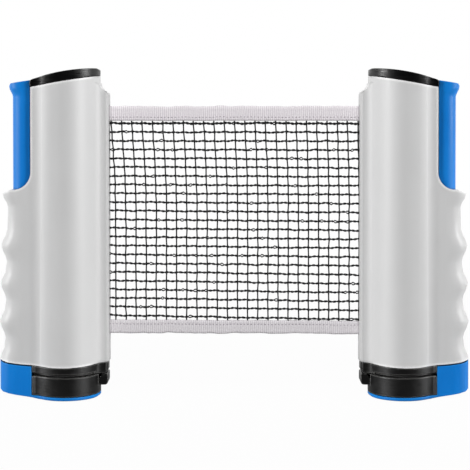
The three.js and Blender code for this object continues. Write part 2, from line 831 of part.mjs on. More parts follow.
// A plate in the XZ plane with a hole in every second field of every second row
function lattice(acrossLines, heightLines, thickness) {
  const positions = [];
  const indices = [];
  const rowLength = acrossLines.length;
  const layer = rowLength * heightLines.length;
  for (const depth of [-thickness / 2, thickness / 2]) {
    for (const height of heightLines) {
      for (const across of acrossLines) {
        positions.push(across, depth, height);
      }
    }
  }
  const filled = (i, j) => {
    const inside = i >= 0 && j >= 0 && i < rowLength - 1 && j < heightLines.length - 1;
    return inside && !(i % 2 === 1 && j % 2 === 1);
  };
  const quad = (a, b, c, d) => indices.push(a, b, c, a, c, d);
  for (let j = 0; j < heightLines.length - 1; j++) {
    for (let i = 0; i < rowLength - 1; i++) {
      if (!filled(i, j)) {
        continue;
      }
      const a = j * rowLength + i;
      const b = a + 1;
      const c = b + rowLength;
      const d = a + rowLength;
      quad(a, b, c, d);
      quad(a + layer, d + layer, c + layer, b + layer);
      if (!filled(i, j - 1)) {
        quad(a, a + layer, b + layer, b);
      }
      if (!filled(i, j + 1)) {
        quad(d, c, c + layer, d + layer);
      }
      if (!filled(i - 1, j)) {
        quad(a, d, d + layer, a + layer);
      }
      if (!filled(i + 1, j)) {
        quad(b, b + layer, c + layer, c);
      }
    }
  }
  const geometry = new THREE.BufferGeometry();
  geometry.setAttribute('position', new THREE.Float32BufferAttribute(positions, 3));
  geometry.setIndex(indices);
  return geometry;
}

// A band of cloth folded over one edge of the net
function foldedBand(foldHeight, openHeight) {
  const end = postSpacing / 2 + netEndOut;
  const inner = bandHalfThickness - bandCloth;
  const foldInside = foldHeight + Math.sign(openHeight - foldHeight) * bandCloth;
  const section = polygon([
    [-bandHalfThickness, openHeight],
    [-bandHalfThickness, foldHeight],
    [bandHalfThickness, foldHeight],
    [bandHalfThickness, openHeight],
    [inner, openHeight],
    [inner, foldInside],
    [-inner, foldInside],
    [-inner, openHeight],
  ]);
  const band = new THREE.ExtrudeGeometry(section, { depth: 2 * end, bevelEnabled: false });
  return band.rotateX(Math.PI / 2).rotateZ(Math.PI / 2).translate(-end, 0, 0);
}

const greyPlastic = new THREE.MeshStandardMaterial({ color: 0xcfd1d3, roughness: 0.42, metalness: 0 });
const bluePlastic = new THREE.MeshStandardMaterial({ color: 0x1669c8, roughness: 0.38, metalness: 0 });
const blackPlastic = new THREE.MeshStandardMaterial({ color: 0x101113, roughness: 0.22, metalness: 0 });
const padRubber = new THREE.MeshStandardMaterial({ color: 0x1d1d1f, roughness: 0.6, metalness: 0 });
const netCord = new THREE.MeshStandardMaterial({ color: 0x26272b, roughness: 0.85, metalness: 0 });
const whiteCloth = new THREE.MeshStandardMaterial({ color: 0xe6dfe6, roughness: 0.9, metalness: 0 });
const reelPlastic = new THREE.MeshStandardMaterial({ color: 0x2a2b2e, roughness: 0.5, metalness: 0 });
const bushPlastic = new THREE.MeshStandardMaterial({ color: 0xe9e6dc, roughness: 0.45, metalness: 0 });
const steel = new THREE.MeshStandardMaterial({ color: 0xb4b7bb, roughness: 0.3, metalness: 1 });

function addPiece(group, name, geometry, material) {
  const mesh = new THREE.Mesh(geometry, material);
  mesh.name = name;
  group.add(mesh);
}

// One post, built with its inner face at X = 0 and its grip towards +X
function post(side) {
  const group = new THREE.Group();
  addPiece(group, `${side}_front_shell`, frontShell(), greyPlastic);
  addPiece(group, `${side}_rear_shell`, rearShell(), greyPlastic);
  addPiece(group, `${side}_top_cap`, topCap(), blackPlastic);
  addPiece(group, `${side}_squeeze_jaw`, squeezeJaw(), bluePlastic);
  addPiece(group, `${side}_upper_pad`, upperPad(), padRubber);
  addPiece(group, `${side}_lower_pad`, lowerPad(), padRubber);
  addPiece(group, `${side}_clamp_spring`, clampSpring(), steel);
  addPiece(group, `${side}_reel_spool`, reelSpool(), reelPlastic);
  addPiece(group, `${side}_reel_shaft`, reelShaft(), steel);
  addPiece(group, `${side}_upper_bush`, reelBush(upperFlangeTop, 1), bushPlastic);
  addPiece(group, `${side}_lower_bush`, reelBush(lowerFlangeBottom, -1), bushPlastic);
  addPiece(group, `${side}_recoil_spring`, recoilSpring(), steel);
  addPiece(group, `${side}_net_roll`, netRoll(), netCord);
  const screwNames = ['inner_lower', 'inner_upper', 'outer_lower', 'outer_upper'];
  screwPlaces.forEach((place, i) => {
    addPiece(group, `${side}_${screwNames[i]}_screw`, shellScrew(place), steel);
  });
  return group;
}

const netSet = new THREE.Group();
const rightPost = post('right');
rightPost.position.x = postSpacing / 2;
const leftPost = post('left');
leftPost.position.x = -postSpacing / 2;
leftPost.scale.x = -1;
netSet.add(leftPost, rightPost);

addPiece(netSet, 'net_mesh', netLattice(), netCord);
addPiece(netSet, 'top_band', foldedBand(netTopHeight, netTopHeight - topBandHeight), whiteCloth);
addPiece(netSet, 'bottom_band', foldedBand(netBottomHeight, netBottomHeight + bottomBandHeight), whiteCloth);

export default netSet;
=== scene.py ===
# Looks of a retractable table tennis net: two clamp posts with the net drawn out between them.
# Everything is in metres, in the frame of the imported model.
import json
import math
import random

import bpy
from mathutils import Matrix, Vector

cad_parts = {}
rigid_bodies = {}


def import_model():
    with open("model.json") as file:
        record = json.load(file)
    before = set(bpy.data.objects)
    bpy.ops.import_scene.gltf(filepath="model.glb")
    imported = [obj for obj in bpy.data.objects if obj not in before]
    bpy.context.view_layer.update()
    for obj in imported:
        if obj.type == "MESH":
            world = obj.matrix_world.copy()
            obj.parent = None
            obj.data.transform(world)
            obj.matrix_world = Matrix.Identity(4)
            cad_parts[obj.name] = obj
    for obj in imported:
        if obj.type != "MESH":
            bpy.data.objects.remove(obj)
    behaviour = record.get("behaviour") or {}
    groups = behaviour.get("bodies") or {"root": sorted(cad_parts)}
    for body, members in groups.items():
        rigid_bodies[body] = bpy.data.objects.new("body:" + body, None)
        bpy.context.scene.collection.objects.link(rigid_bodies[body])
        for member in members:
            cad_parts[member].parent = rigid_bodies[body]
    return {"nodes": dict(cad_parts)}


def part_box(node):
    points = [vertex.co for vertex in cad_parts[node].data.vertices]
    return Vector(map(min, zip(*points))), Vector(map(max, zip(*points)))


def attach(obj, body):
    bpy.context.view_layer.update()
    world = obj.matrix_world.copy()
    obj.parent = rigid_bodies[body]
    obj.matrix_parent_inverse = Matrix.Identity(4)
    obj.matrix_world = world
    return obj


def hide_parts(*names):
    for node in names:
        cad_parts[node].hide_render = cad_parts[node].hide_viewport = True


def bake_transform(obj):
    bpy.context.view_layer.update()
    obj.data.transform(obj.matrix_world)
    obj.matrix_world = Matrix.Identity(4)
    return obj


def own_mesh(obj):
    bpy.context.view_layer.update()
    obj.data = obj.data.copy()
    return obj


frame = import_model()
bpy.context.view_layer.update()
print("model loaded,", len(frame["nodes"]), "nodes")


# Camera, nearly level near the height of the posts' tops, its lens shifted down so that the posts stay upright
camera = {
    "lens": 98.65,
    "sensor": 36,
    "shift": -0.2,
    "distance": 0.8213,
    "height": 0.1781,
    "across": 0.0004,
    "pitch": 1.114,  # degrees below level
    "clipStart": 0.01,
    "clipEnd": 50,
}

photoCamera = bpy.data.cameras.new("photoCamera")
photoCamera.lens = camera["lens"]
photoCamera.sensor_width = camera["sensor"]
photoCamera.shift_y = camera["shift"]
photoCamera.clip_start = camera["clipStart"]
photoCamera.clip_end = camera["clipEnd"]
cameraStand = bpy.data.objects.new("photoCamera", photoCamera)
cameraStand.location = (camera["across"], -camera["distance"], camera["height"])
cameraStand.rotation_euler = (math.radians(90 - camera["pitch"]), 0, 0)
bpy.context.scene.collection.objects.link(cameraStand)
bpy.context.scene.camera = cameraStand
bpy.context.scene.view_settings.view_transform = "Standard"


# Node helpers
def addNode(tree, kind, place, **settings):
    node = tree.nodes.new("ShaderNode" + kind)
    node.location = place
    for key, value in settings.items():
        setattr(node, key, value)
    return node


def clearTree(owner):
    owner.use_nodes = True
    owner.node_tree.nodes.clear()
    return owner.node_tree


def feed(socket, value):
    # the value is a number, a colour, a vector, or the socket that drives this one
    if isinstance(value, bpy.types.NodeSocket):
        socket.id_data.links.new(value, socket)
    elif socket.type == "RGBA":
        socket.default_value = (*value, 1)
    else:
        socket.default_value = value


def setInputs(node, **values):
    for key, value in values.items():
        feed(node.inputs[key.replace("_", " ")], value)
    return node


def mathNode(tree, operation, first, second, place, clamp=False):
    node = addNode(tree, "Math", place, operation=operation, use_clamp=clamp)
    feed(node.inputs[0], first)
    if second is not None:
        feed(node.inputs[1], second)
    return node.outputs[0]


def vectorNode(tree, operation, first, second, place):
    node = addNode(tree, "VectorMath", place, operation=operation)
    feed(node.inputs[0], first)
    if second is not None:
        feed(node.inputs["Scale"] if operation == "SCALE" else node.inputs[1], second)
    return node.outputs["Value" if operation in ("LENGTH", "DOT_PRODUCT") else "Vector"]


def mixColours(tree, factor, first, second, place):
    node = addNode(tree, "Mix", place, data_type="RGBA")
    for index, value in ((0, factor), (6, first), (7, second)):
        feed(node.inputs[index], value)
    return node.outputs[2]


def mixShaders(tree, factor, first, second, place=(0, 0)):
    node = addNode(tree, "MixShader", place)
    for socket, value in zip(node.inputs, (factor, first, second)):
        feed(socket, value)
    return node.outputs[0]


def mapRange(tree, value, low, high, newLow, newHigh, place):
    node = addNode(tree, "MapRange", place, clamp=True)
    return setInputs(node, Value=value, From_Min=low, From_Max=high, To_Min=newLow, To_Max=newHigh).outputs[0]


def axesOf(tree, vector, place):
    return setInputs(addNode(tree, "SeparateXYZ", place), Vector=vector).outputs


def ownCoordinates(tree, place):
    return addNode(tree, "TexCoord", place).outputs["Object"]


def objectNoise(tree, scale, detail, roughness, place):
    own = ownCoordinates(tree, (place[0] - 200, place[1]))
    noise = addNode(tree, "TexNoise", place)
    return setInputs(noise, Vector=own, Scale=scale, Detail=detail, Roughness=roughness).outputs[0]


# Softboxes. Each post has one from across the net and one on its own side, and so have its cap and its pads,
# whose black shows little but what it mirrors. The net has one from above.
softboxes = {
    "aimOut": 0.107,  # the middle of a post
    "aimHeight": 0.1,
    "distance": 3,
    "height": 0.6,
    "width": 1.0,
    "tall": 2.5,
    "pairs": {  # degrees from straight in front of the post, and watts: across the net, then its own side
        "": ((55, 98), (85, 113)),
        "Cap": ((74, 112), (106, 112)),
        "Pads": ((63, 330), (83, 350)),
    },
    "singles": {  # place, width, height, watts, and what it lights if not everything
        "netSoftbox": ((0, -2.2, 2.2), 2.4, 0.8, 74, "net"),
        "topSoftbox": ((0, -0.25, 1.3), 0.9, 0.7, 1.2, None),
        "backSoftbox": ((0, 1.3, 0.7), 1.4, 0.6, 4.0, None),
    },
}
litBy = {"net": bpy.data.collections.new("netLit")}


def addLamp(name, place, aim, width, tall, watts, lit):
    data = bpy.data.lights.new(name, "AREA")
    data.shape = "RECTANGLE"
    data.size = width
    data.size_y = tall
    data.energy = watts
    lamp = bpy.data.objects.new(name, data)
    lamp.location = place
    lamp.rotation_euler = (Vector(aim) - Vector(place)).to_track_quat("-Z", "Y").to_euler()
    bpy.context.scene.collection.objects.link(lamp)
    if lit:
        lamp.light_linking.receiver_collection = litBy[lit]


for side, sign in (("left", -1), ("right", 1)):
    aim = (sign * softboxes["aimOut"], 0, softboxes["aimHeight"])
    reach = softboxes["distance"]
    for part, pair in softboxes["pairs"].items():
        lit = side + part
        litBy[lit] = bpy.data.collections.new(lit + "Lit")
        for kind, turn, (degrees, watts) in zip(("Key", "Rim"), (-sign, sign), pair):
            angle = math.radians(degrees) * turn
            place = (aim[0] + reach * math.sin(angle), -reach * math.cos(angle), softboxes["height"])
            addLamp(lit + kind, place, aim, softboxes["width"], softboxes["tall"], watts, lit)
for name, (place, width, tall, watts, lit) in softboxes["singles"].items():
    addLamp(name, place, (0, 0, softboxes["aimHeight"]), width, tall, watts, lit)

# The room is white to the camera. What the surfaces mirror is white behind the net and dark in front of it.
studio = {
    "strength": 0.15,
    "frontMirrored": 0.06,
    "roomTurn": (-0.1, 0.5),  # direction away from the camera over which the mirrored room turns white
    "floorTurn": (-0.3, 0.5),  # distance behind the net over which the mirrored floor does
    "floorHalf": 6,
    "floorDrop": 0.0002,  # below the feet
    "floorPaint": (0.55, 0.55, 0.55),
    "floorWhite": 0.975,  # to the camera near the feet, the rest is painted floor with its shadow
    "shadowEnd": (0.34, 0.7),  # distance from the middle over which it turns all white
}


def roomRays(tree, behind):
    # strength of the white that a ray sees: all of it for the camera, less in front for reflections
    rays = addNode(tree, "LightPath", (-900, 200)).outputs
    mirrored = mathNode(tree, "MAXIMUM", rays["Is Glossy Ray"], rays["Is Transmission Ray"], (-700, 240))
    strength = mathNode(tree, "MAXIMUM", behind, rays["Is Camera Ray"], (-500, 100))
    return rays["Is Camera Ray"], mirrored, strength


room = bpy.data.worlds.new("studioRoom")
bpy.context.scene.world = room
tree = clearTree(room)
direction = axesOf(tree, addNode(tree, "TexCoord", (-1300, -200)).outputs["Generated"], (-1100, -200))
behind = mapRange(tree, direction["Y"], *studio["roomTurn"], studio["frontMirrored"], 1, (-900, -200))
cameraRay, mirrored, strength = roomRays(tree, behind)
dimRoom = setInputs(addNode(tree, "Background", (-250, 0)), Color=(1, 1, 1), Strength=studio["strength"])
whiteRoom = setInputs(addNode(tree, "Background", (-250, -150)), Color=(1, 1, 1), Strength=strength)
seen = mathNode(tree, "MAXIMUM", cameraRay, mirrored, (-300, 200))
seenRoom = mixShaders(tree, seen, dimRoom.outputs[0], whiteRoom.outputs[0])
setInputs(addNode(tree, "OutputWorld", (200, 0)), Surface=seenRoom)

# The floor is nearly white to the camera, keeps a part of the shadow round the feet, and is clear from below
floorMaterial = bpy.data.materials.new("whiteFloor")
tree = clearTree(floorMaterial)
position = addNode(tree, "NewGeometry", (-1500, 0)).outputs["Position"]
axes = axesOf(tree, position, (-1300, -100))
behind = mapRange(tree, axes["Y"], *studio["floorTurn"], studio["frontMirrored"], 1, (-1100, -100))
cameraRay, mirrored, strength = roomRays(tree, behind)
matt = setInputs(addNode(tree, "BsdfDiffuse", (-250, 0)), Color=studio["floorPaint"])
glow = setInputs(addNode(tree, "Emission", (-250, -120)), Strength=strength)
away = vectorNode(tree, "LENGTH", position, None, (-1300, 100))
white = mapRange(tree, away, *studio["shadowEnd"], studio["floorWhite"], 1, (-1100, 100))
white = mathNode(tree, "MULTIPLY", white, cameraRay, (-450, 300))
seen = mathNode(tree, "MAXIMUM", white, mirrored, (-250, 250))
fromAbove = mixShaders(tree, seen, matt.outputs[0], glow.outputs[0])
backfacing = addNode(tree, "NewGeometry", (0, 300)).outputs["Backfacing"]
clear = addNode(tree, "BsdfTransparent", (0, -150)).outputs[0]
seenFloor = mixShaders(tree, backfacing, fromAbove, clear, (200, 0))
setInputs(addNode(tree, "OutputMaterial", (400, 0)), Surface=seenFloor)

half = studio["floorHalf"]
floorMesh = bpy.data.meshes.new("floor")
floorMesh.from_pydata([(-half, -half, 0), (half, -half, 0), (half, half, 0), (-half, half, 0)], [], [(0, 1, 2, 3)])
floorMesh.materials.append(floorMaterial)
floorPlane = bpy.data.objects.new("floor", floorMesh)
floorPlane.location.z = -studio["floorDrop"]
bpy.context.scene.collection.objects.link(floorPlane)
print("camera, softboxes, room and floor set")


# Node groups that several finishes share
def newGroup(name, inputs, outputs):
    group = bpy.data.node_groups.new(name, "ShaderNodeTree")
    for label, value in inputs:
        socket = group.interface.new_socket(name=label, in_out="INPUT", socket_type="NodeSocketFloat")
        socket.default_value = value
    for label in outputs:
        kind = "NodeSocketVector" if label == "Normal" else "NodeSocketFloat"
        group.interface.new_socket(name=label, in_out="OUTPUT", socket_type=kind)
    given, result = group.nodes.new("NodeGroupInput"), group.nodes.new("NodeGroupOutput")
    given.location, result.location = (-1200, 0), (900, 0)
    return group, given.outputs, result


# Edges painted lighter as highlight and as wear that hands and table tops have rubbed, with a softly rounded shading
# normal
wornEdges, given, result = newGroup(
    "wornEdges",
    (("Width", 0.0006), ("Round", 0.0004), ("Break Up", 0.5), ("Noise Scale", 300), ("Looking Up", 1)),
    ("Edge", "Normal"),
)
edgeSharpness = 16
tree = wornEdges
bevel = setInputs(addNode(tree, "Bevel", (-600, 200), samples=6), Radius=given["Width"])
soft = setInputs(addNode(tree, "Bevel", (-600, 400), samples=6), Radius=given["Round"])
facing = addNode(tree, "NewGeometry", (-600, 0)).outputs["Normal"]
bend = vectorNode(tree, "DOT_PRODUCT", bevel.outputs[0], facing, (-400, 100))
bend = mathNode(tree, "SUBTRACT", 1, bend, (-220, 100))
sharp = mathNode(tree, "MULTIPLY", bend, edgeSharpness, (-60, 100), clamp=True)
breaks = objectNoise(tree, given["Noise Scale"], 4, 0.6, (-400, -200))
breaks = mapRange(tree, breaks, 0.35, 0.65, 0, 1, (-200, -200))
kept = mathNode(tree, "MULTIPLY", breaks, given["Break Up"], (0, -150))
kept = mathNode(tree, "SUBTRACT", 1, kept, (150, -150))
# faces that look up keep the share Looking Up
upward = mapRange(tree, axesOf(tree, facing, (-400, -400))["Z"], 0.1, 0.4, 1, given["Looking Up"], (-200, -400))
kept = mathNode(tree, "MULTIPLY", kept, upward, (250, -200))
setInputs(result, Edge=mathNode(tree, "MULTIPLY", sharp, kept, (320, 0), clamp=True), Normal=soft.outputs[0])

# Fine grain of a moulding tool, which Drawn Out stretches into level lines, and slow patches for colour and gloss
mouldGrain, given, result = newGroup(
    "mouldGrain", (("Grain Scale", 2600), ("Patch Scale", 35), ("Drawn Out", 1)), ("Grain", "Patch")
)
tree = mouldGrain
drawn = addNode(tree, "CombineXYZ", (-750, 200))
setInputs(drawn, X=given["Drawn Out"], Y=given["Drawn Out"], Z=1)
grainPlace = vectorNode(tree, "MULTIPLY", ownCoordinates(tree, (-900, 300)), drawn.outputs[0], (-600, 300))
grain = addNode(tree, "TexNoise", (-400, 200))
setInputs(grain, Vector=grainPlace, Scale=given["Grain Scale"], Detail=3, Roughness=0.6)
patch = objectNoise(tree, given["Patch Scale"], 3, 0.5, (-400, -150))
setInputs(result, Grain=grain.outputs[0], Patch=mapRange(tree, patch, 0.3, 0.7, 0, 1, (0, -150)))

# Painted shade: darker colour in the seams between two pieces, where ambient occlusion finds other surfaces close
seamShade, given, result = newGroup("seamShade", (("Reach", 0.002), ("Amount", 0.5)), ("Shade",))
tree = seamShade
nearby = addNode(tree, "AmbientOcclusion", (-500, 100), samples=6)
setInputs(nearby, Distance=given["Reach"])
closed = mapRange(tree, nearby.outputs["AO"], 0.35, 0.85, 1, 0, (-250, 100))
setInputs(result, Shade=mathNode(tree, "MULTIPLY", closed, given["Amount"], (50, 100)))

# Dust and dull spots, mostly on faces that look up
restingDust, given, result = newGroup("restingDust", (("Amount", 0.2), ("Spot Scale", 900)), ("Dust",))
tree = restingDust
facing = addNode(tree, "NewGeometry", (-600, 200)).outputs["Normal"]
upward = mapRange(tree, axesOf(tree, facing, (-400, 200))["Z"], -0.2, 1, 0.15, 1, (-200, 200))
spots = objectNoise(tree, given["Spot Scale"], 4, 0.7, (-400, -150))
spots = mapRange(tree, spots, 0.5, 0.72, 0, 1, (-200, -150))
dust = mathNode(tree, "MULTIPLY", upward, spots, (50, 0))
setInputs(result, Dust=mathNode(tree, "MULTIPLY", dust, given["Amount"], (250, 0), clamp=True))

# Threads that cross: ribs one way and finer threads the other
ribWeave, given, result = newGroup(
    "ribWeave", (("Rib Pitch", 0.0012), ("Thread Pitch", 0.0007), ("Wander", 0.0004)), ("Height", "Mottle")
)
ribShare = 0.65  # of the height, the rest is the threads'
tree = ribWeave
own = ownCoordinates(tree, (-900, 300))
wander = setInputs(addNode(tree, "TexNoise", (-900, 50)), Vector=own, Scale=260, Detail=3)
shift = vectorNode(tree, "SUBTRACT", wander.outputs["Color"], (0.5, 0.5, 0.5), (-720, 50))
shift = vectorNode(tree, "SCALE", shift, given["Wander"], (-560, 50))
axes = axesOf(tree, vectorNode(tree, "ADD", own, shift, (-400, 200)), (-220, 200))
waves = []
for axis, pitch, share in (("X", "Rib Pitch", ribShare), ("Z", "Thread Pitch", 1 - ribShare)):
    turns = mathNode(tree, "DIVIDE", axes[axis], given[pitch], (-50, 200))
    wave = mathNode(tree, "SINE", mathNode(tree, "MULTIPLY", turns, 2 * math.pi, (100, 200)), None, (250, 200))
    waves.append(mapRange(tree, wave, -1, 1, 0, share, (400, 200)))
mottle = objectNoise(tree, 900, 5, 0.75, (-400, -250))
setInputs(
    result, Height=mathNode(tree, "ADD", *waves, (600, 200)),
    Mottle=mapRange(tree, mottle, 0.35, 0.68, 0, 1, (0, -250)),
)

# Fibres of a twisted thread
yarnFibres, given, result = newGroup("yarnFibres", (("Fibre Scale", 3500), ("Fleck", 0.5)), ("Fibre", "Fleck"))
tree = yarnFibres
fleck = objectNoise(tree, 900, 3, 0.7, (-400, -150))
fleck = mapRange(tree, fleck, 0.55, 0.75, 0, 1, (-150, -150))
setInputs(
    result, Fibre=objectNoise(tree, given["Fibre Scale"], 4, 0.6, (-400, 200)),
    Fleck=mathNode(tree, "MULTIPLY", fleck, given["Fleck"], (100, -150)),
)
print("node groups built")


# Finishes
def startMaterial(name, **values):
    material = bpy.data.materials.new(name)
    tree = clearTree(material)
    shader = setInputs(addNode(tree, "BsdfPrincipled", (400, 0)), **values)
    setInputs(addNode(tree, "OutputMaterial", (700, 0)), Surface=shader.outputs[0])
    return material, tree, shader


def placeGroup(tree, group, place, **values):
    return setInputs(addNode(tree, "Group", place, node_tree=group), **values)


def addBump(tree, shader, height, depth, **under):
    bump = addNode(tree, "Bump", (150, -300))
    setInputs(bump, Strength=1, Distance=depth, Height=height, **under)
    setInputs(shader, Normal=bump.outputs[0])


def shadeMouth(tree, mouthLook, edges, edgeHighlightShare, body):
    # by distance from the net's middle: painted shade as a dark line at the mouth's edges and a darker strip on the
    # nose, soft corners on the nose, and no painted edge highlight on the nose
    axes = axesOf(tree, ownCoordinates(tree, (-1100, 650)), (-900, 650))
    across = mathNode(tree, "ABSOLUTE", axes["X"], None, (-700, 650))
    offNose = mapRange(tree, across, *mouthLook["nose"], 0, 1, (-500, 650))
    softness = mapRange(tree, across, *mouthLook["soft"], mouthLook["round"], mouthLook["roundElsewhere"], (-500, 500))
    setInputs(edges, Round=softness)
    edgeHighlightShare = mathNode(tree, "MULTIPLY", edgeHighlightShare, offNose, (-300, 500))
    mouth = placeGroup(tree, wornEdges, (-700, 850), Width=mouthLook["width"], Break_Up=mouthLook["breaks"])
    atMouth = mapRange(tree, across, *mouthLook["mouth"], mouthLook["share"], 0, (-500, 850))
    mouthShadeMask = mathNode(tree, "MULTIPLY", mouth.outputs["Edge"], atMouth, (-300, 850))
    noseShade = mapRange(tree, across, *mouthLook["noseShade"], mouthLook["noseShadeShare"], 0, (-500, 1000))
    body = mixColours(tree, noseShade, body, mouthLook["noseShadeColour"], (-250, 150))
    return edgeHighlightShare, mixColours(tree, mouthShadeMask, body, mouthLook["colour"], (-200, 150))


def mouldedPlastic(name, look):
    # plain moulded plastic: body colour in slow patches, edges painted lighter as highlight and wear, a little dust
    material, tree, shader = startMaterial(name, Specular_IOR_Level=look["specular"], **look.get("coat", {}))
    grain = placeGroup(
        tree, mouldGrain, (-700, 0), Grain_Scale=look["grainScale"], Patch_Scale=look["patchScale"],
        Drawn_Out=look.get("grainDrawnOut", 1),
    ).outputs
    edges = placeGroup(
        tree, wornEdges, (-700, 250), Width=look["edgeWidth"], Break_Up=look["edgeBreaks"],
        Looking_Up=look.get("edgeUpward", 1),
    )
    dust = placeGroup(tree, restingDust, (-700, -250), Amount=look["dust"]).outputs["Dust"]
    body = mixColours(tree, grain["Patch"], look["deep"], look["colour"], (-350, 100))
    # painted shade in the seams
    if "seamShadeColour" in look:
        seams = placeGroup(tree, seamShade, (-700, 450), Reach=look["seamShadeReach"], Amount=look["seamShadeShare"])
        body = mixColours(tree, seams.outputs["Shade"], body, look["seamShadeColour"], (-250, 100))
    edgeHighlightShare = mathNode(tree, "MULTIPLY", edges.outputs["Edge"], look["edgeHighlightShare"], (-350, 300))
    # painted shade at the mouth and on the nose
    if "mouthShadeAndCorners" in look:
        edgeHighlightShare, body = shadeMouth(tree, look["mouthShadeAndCorners"], edges, edgeHighlightShare, body)
    # painted highlight: the edges turn lighter, white on the grey shell
    body = mixColours(tree, edgeHighlightShare, body, look["edgeHighlightColour"], (-100, 200))
    body = mixColours(tree, dust, body, look["dustColour"], (100, 200))
    rough = mapRange(tree, grain["Patch"], 0, 1, *look["rough"], (-350, -100))
    rough = mathNode(tree, "ADD", rough, mathNode(tree, "MULTIPLY", dust, 0.4, (-350, -250)), (0, -100))
    if "streak" in look:
        streak = mapRange(tree, grain["Grain"], 0.3, 0.7, -look["streak"], look["streak"], (0, -250))
        rough = mathNode(tree, "ADD", rough, streak, (150, -150), clamp=True)
    setInputs(shader, Base_Color=body, Roughness=rough)
    addBump(tree, shader, grain["Grain"], look["grainDepth"], Normal=edges.outputs["Normal"])
    return material


greyShell = {
    "colour": (0.69, 0.69, 0.69),
    "deep": (0.67, 0.67, 0.67),
    # painted highlight: a white line along the shell's edges
    "edgeHighlightColour": (1, 1, 1),
    "edgeWidth": 0.0029,
    "edgeBreaks": 0.15,
    "edgeHighlightShare": 1.0,
    "edgeUpward": 0.1,
    "dust": 0.08,
    "dustColour": (0.50, 0.50, 0.49),
    "specular": 0.5,
    "coat": {"Coat_Weight": 0.15, "Coat_Roughness": 0.36},
    "rough": (0.44, 0.50),
    "grainScale": 2600,
    "grainDepth": 0.00003,
    "patchScale": 30,
    "mouthShadeAndCorners": {  # painted shade along the mouth's edges and on the nose, and the nose's soft corners; distances from the net's middle
        # painted shade: the dark line along the mouth's edges
        "colour": (0.20, 0.20, 0.20),
        "width": 0.0010,
        "breaks": 0.15,
        "share": 0.8,
        "mouth": (0.0812, 0.0830),
        # painted shade: a darker strip on the nose
        "noseShadeColour": (0.55, 0.55, 0.55),
        "noseShadeShare": 0.6,
        "noseShade": (0.0816, 0.0827),
        "round": 0.0032,  # of the nose's soft corners
        "roundElsewhere": 0.0002,
        "soft": (0.0860, 0.0880),
        "nose": (0.0880, 0.0910),
    },
}
greyShellPlastic = mouldedPlastic("greyShellPlastic", greyShell)

blueJaw = {
    "colour": (0.001, 0.235, 0.76),
    "deep": (0.001, 0.212, 0.71),
    # painted shade: navy in the gap beside the grey shell
    "seamShadeColour": (0.004, 0.045, 0.13),
    "seamShadeReach": 0.0022,
    "seamShadeShare": 0.9,
    # painted highlight: lighter blue along the edges
    "edgeHighlightColour": (0.06, 0.42, 0.90),
    "edgeWidth": 0.0009,
    "edgeBreaks": 0.4,
    "edgeHighlightShare": 0.5,
    "dust": 0.08,
    "dustColour": (0.20, 0.36, 0.66),
    "specular": 0.2,
    "rough": (0.38, 0.46),
    "grainScale": 1900,
    "grainDepth": 0.00002,
    "patchScale": 40,
}
blueJawPlastic = mouldedPlastic("blueJawPlastic", blueJaw)

blackCap = {
    "colour": (0.0035, 0.0035, 0.0038),
    "deep": (0.0025, 0.0025, 0.0028),
    # painted highlight: grey along the cap's edges
    "edgeHighlightColour": (0.07, 0.07, 0.075),
    "edgeWidth": 0.0006,
    "edgeBreaks": 0.7,
    "edgeHighlightShare": 0.5,
    "dust": 0.06,
    "dustColour": (0.06, 0.06, 0.06),
    "specular": 0.4,
    "rough": (0.31, 0.41),
    "grainScale": 1100,
    "grainDrawnOut": 0.06,
    "streak": 0.16,
    "grainDepth": 0.00005,
    "patchScale": 60,
}
blackCapPlastic = mouldedPlastic("blackCapPlastic", blackCap)

jawPad = {
    "colour": (0.0012, 0.0012, 0.0012),
    "deep": (0.0007, 0.0007, 0.0007),
    # painted highlight: pale lines along the pads' edges
    "edgeHighlightColour": (0.075, 0.074, 0.072),
    "edgeWidth": 0.0009,
    "edgeBreaks": 0.35,
    "edgeHighlightShare": 0.75,
    "dust": 0.05,
    "dustColour": (0.03, 0.029, 0.028),
    "specular": 0.2,
    "rough": (0.34, 0.46),
    "grainScale": 1600,
    "grainDrawnOut": 0.12,
    "streak": 0.08,
    "grainDepth": 0.00005,
    "patchScale": 90,
}
jawPadRubber = mouldedPlastic("jawPadRubber", jawPad)

reelSpool = {
    "colour": (0.030, 0.030, 0.032),
    "deep": (0.022, 0.022, 0.024),
    "edgeHighlightColour": (0.16, 0.16, 0.165),
    "edgeWidth": 0.0004,
    "edgeBreaks": 0.5,
    "edgeHighlightShare": 0.5,
    "dust": 0.3,
    "dustColour": (0.20, 0.20, 0.19),
    "specular": 0.4,
    "rough": (0.38, 0.5),
    "grainScale": 2200,
    "grainDepth": 0.00004,
    "patchScale": 70,
}
reelSpoolPlastic = mouldedPlastic("reelSpoolPlastic", reelSpool)

reelBush = dict(
    reelSpool, colour=(0.78, 0.75, 0.68), deep=(0.70, 0.67, 0.60), edgeHighlightColour=(0.9, 0.88, 0.82),
    dustColour=(0.42, 0.40, 0.36), rough=(0.3, 0.42),
)
reelBushPlastic = mouldedPlastic("reelBushPlastic", reelBush)


def drawnSteel(name, look):
    # bare steel with fine scratches and darker patches of oil
    material, tree, shader = startMaterial(name, Metallic=1)
    grain = placeGroup(
        tree, mouldGrain, (-700, 0), Grain_Scale=look["scratchScale"], Patch_Scale=look["patchScale"]
    ).outputs
    edges = placeGroup(tree, wornEdges, (-700, 250), Width=look["edgeWidth"], Break_Up=look["edgeBreaks"])
    body = mixColours(tree, grain["Patch"], look["oiled"], look["colour"], (-350, 100))
    body = mixColours(tree, edges.outputs["Edge"], body, look["bright"], (-100, 200))
    rough = mapRange(tree, grain["Grain"], 0.3, 0.7, *look["rough"], (-350, -100))
    setInputs(shader, Base_Color=body, Roughness=rough)
    addBump(tree, shader, grain["Grain"], look["scratchDepth"])
    return material


